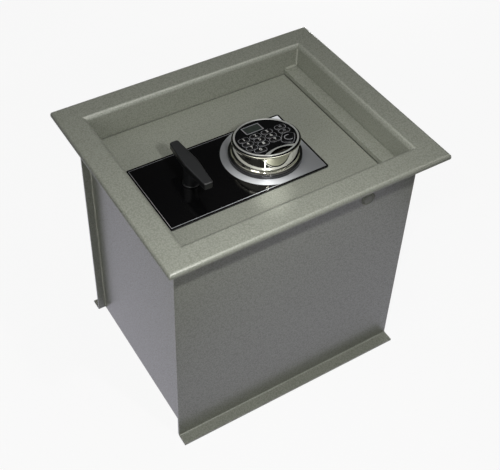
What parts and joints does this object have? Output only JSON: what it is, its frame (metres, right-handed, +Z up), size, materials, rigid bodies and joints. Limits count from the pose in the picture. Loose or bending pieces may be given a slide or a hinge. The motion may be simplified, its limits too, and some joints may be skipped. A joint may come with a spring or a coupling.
{
  "type": "floor safe",
  "caption": "In-floor steel safe box with a wide top flange, a recessed hinged door, a T-handle that drives locking bolts, and a round electronic keypad.",
  "frame": {"origin": "on the ground, under the centre of the top flange", "axes": "+X along the long front side, +Y away from the front, +Z up; the hinge is at +X"},
  "size_m": [0.38, 0.311, 0.36],
  "materials": {
    "body_paint": "rippled hammertone paint, grey green",
    "weld_steel": "welded steel under a thin coat of the paint",
    "fascia_lacquer": "gloss black and brushed silver print",
    "handle_black": "satin black coating on a casting",
    "keypad_chrome": "bright plating",
    "satin_chrome": "satin plating",
    "face_black": "black printed film",
    "key_plastic": "black keys with white print",
    "display_glass": "grey green display",
    "zinc_steel": "zinc plated steel",
    "bolt_steel": "ground bright steel",
    "zinc_casting": "die-cast zinc",
    "brass": "machined brass",
    "black_rubber": "moulded rubber",
    "board_green": "circuit board",
    "cell_wrap": "wrapped battery cells"
  },
  "bodies": {
    "safe_body": {"front_panel": "body_paint", "back_panel": "body_paint", "left_panel": "body_paint", "right_panel": "body_paint", "floor_plate": "body_paint", "left_ledge": "body_paint", "front_ledge": "body_paint", "back_ledge": "body_paint", "hinge_cover_strip": "body_paint", "strip_support_bar": "body_paint", "hinge_pins": "weld_steel"},
    "door": {"door_plate": "body_paint", "hinge_lugs": "weld_steel", "fascia_plate": "fascia_lacquer", "handle_bush": "brass", "bolt_guide": "zinc_steel", "carrier_studs": "zinc_steel", "hard_plate": "zinc_steel", "lock_case": "zinc_casting", "lock_cover": "zinc_casting", "lock_screws": "zinc_steel", "lock_motor": "zinc_casting", "cable_tube": "zinc_steel", "keypad_cable": "black_rubber", "keypad_base": "keypad_chrome", "keypad_screws": "zinc_steel", "keypad_housing": "keypad_chrome", "keypad_bezel": "satin_chrome", "keypad_face": "face_black", "key_mat": "black_rubber", "circuit_board": "board_green", "display_window": "display_glass"},
    "handle": {"handle": "handle_black", "handle_grub_screw": "handle_black", "handle_spindle": "bolt_steel", "crank": "zinc_steel", "crank_pin": "bolt_steel", "spindle_ring": "zinc_steel"},
    "bolts": {"bolt_carrier": "zinc_steel", "bolt_back": "bolt_steel", "bolt_middle": "bolt_steel", "bolt_front": "bolt_steel", "bolt_screws": "zinc_steel"},
    "lock_bolt": {"lock_bolt": "brass"},
    "battery_drawer": {"battery_drawer": "keypad_chrome", "battery_cells": "cell_wrap"},
    "key_1": {"key_1": "key_plastic"},
    "key_2": {"key_2": "key_plastic"},
    "key_3": {"key_3": "key_plastic"},
    "key_4": {"key_4": "key_plastic"},
    "key_5": {"key_5": "key_plastic"},
    "key_6": {"key_6": "key_plastic"},
    "key_7": {"key_7": "key_plastic"},
    "key_8": {"key_8": "key_plastic"},
    "key_9": {"key_9": "key_plastic"},
    "key_0": {"key_0": "key_plastic"},
    "key_upper_function": {"key_upper_function": "key_plastic"},
    "key_lower_function": {"key_lower_function": "key_plastic"},
    "key_enter": {"key_enter": "key_plastic"}
  },
  "joints": [
    {"name": "door_hinge", "type": "hinge", "parent": "safe_body", "child": "door", "pos_m": [0.097, 0, 0.3055], "axis": [0, 1, 0], "range_deg": [0, 95]},
    {"name": "handle_turn", "type": "hinge", "parent": "door", "child": "handle", "pos_m": [-0.082, -0.008, 0.322], "axis": [0, 0, 1], "range_deg": [0, 90]},
    {"name": "bolts_slide", "type": "slide", "parent": "door", "child": "bolts", "axis": [-1, 0, 0], "range_m": [0, 0.018]},
    {"name": "lock_bolt_slide", "type": "slide", "parent": "door", "child": "lock_bolt", "axis": [0, 1, 0], "range_m": [0, 0.01]},
    {"name": "battery_drawer_slide", "type": "slide", "parent": "door", "child": "battery_drawer", "axis": [-0.1788, -0.9839, 0], "range_m": [0, 0.04]},
    {"name": "key_1_press", "type": "slide", "parent": "door", "child": "key_1", "axis": [0, -0.1219, -0.9925], "range_m": [0, 0.0008], "stiffness_N_per_m": 300},
    {"name": "key_2_press", "type": "slide", "parent": "door", "child": "key_2", "axis": [0, -0.1219, -0.9925], "range_m": [0, 0.0008], "stiffness_N_per_m": 300},
    {"name": "key_3_press", "type": "slide", "parent": "door", "child": "key_3", "axis": [0, -0.1219, -0.9925], "range_m": [0, 0.0008], "stiffness_N_per_m": 300},
    {"name": "key_4_press", "type": "slide", "parent": "door", "child": "key_4", "axis": [0, -0.1219, -0.9925], "range_m": [0, 0.0008], "stiffness_N_per_m": 300},
    {"name": "key_5_press", "type": "slide", "parent": "door", "child": "key_5", "axis": [0, -0.1219, -0.9925], "range_m": [0, 0.0008], "stiffness_N_per_m": 300},
    {"name": "key_6_press", "type": "slide", "parent": "door", "child": "key_6", "axis": [0, -0.1219, -0.9925], "range_m": [0, 0.0008], "stiffness_N_per_m": 300},
    {"name": "key_7_press", "type": "slide", "parent": "door", "child": "key_7", "axis": [0, -0.1219, -0.9925], "range_m": [0, 0.0008], "stiffness_N_per_m": 300},
    {"name": "key_8_press", "type": "slide", "parent": "door", "child": "key_8", "axis": [0, -0.1219, -0.9925], "range_m": [0, 0.0008], "stiffness_N_per_m": 300},
    {"name": "key_9_press", "type": "slide", "parent": "door", "child": "key_9", "axis": [0, -0.1219, -0.9925], "range_m": [0, 0.0008], "stiffness_N_per_m": 300},
    {"name": "key_0_press", "type": "slide", "parent": "door", "child": "key_0", "axis": [0, -0.1219, -0.9925], "range_m": [0, 0.0008], "stiffness_N_per_m": 300},
    {"name": "key_upper_function_press", "type": "slide", "parent": "door", "child": "key_upper_function", "axis": [0, -0.1219, -0.9925], "range_m": [0, 0.0008], "stiffness_N_per_m": 300},
    {"name": "key_lower_function_press", "type": "slide", "parent": "door", "child": "key_lower_function", "axis": [0, -0.1219, -0.9925], "range_m": [0, 0.0008], "stiffness_N_per_m": 300},
    {"name": "key_enter_press", "type": "slide", "parent": "door", "child": "key_enter", "axis": [0, -0.1219, -0.9925], "range_m": [0, 0.0008], "stiffness_N_per_m": 300}
  ],
  "couplings": [
    {"joint": "handle_turn", "follows": "bolts_slide", "rad_per_m": 87.266}
  ]
}
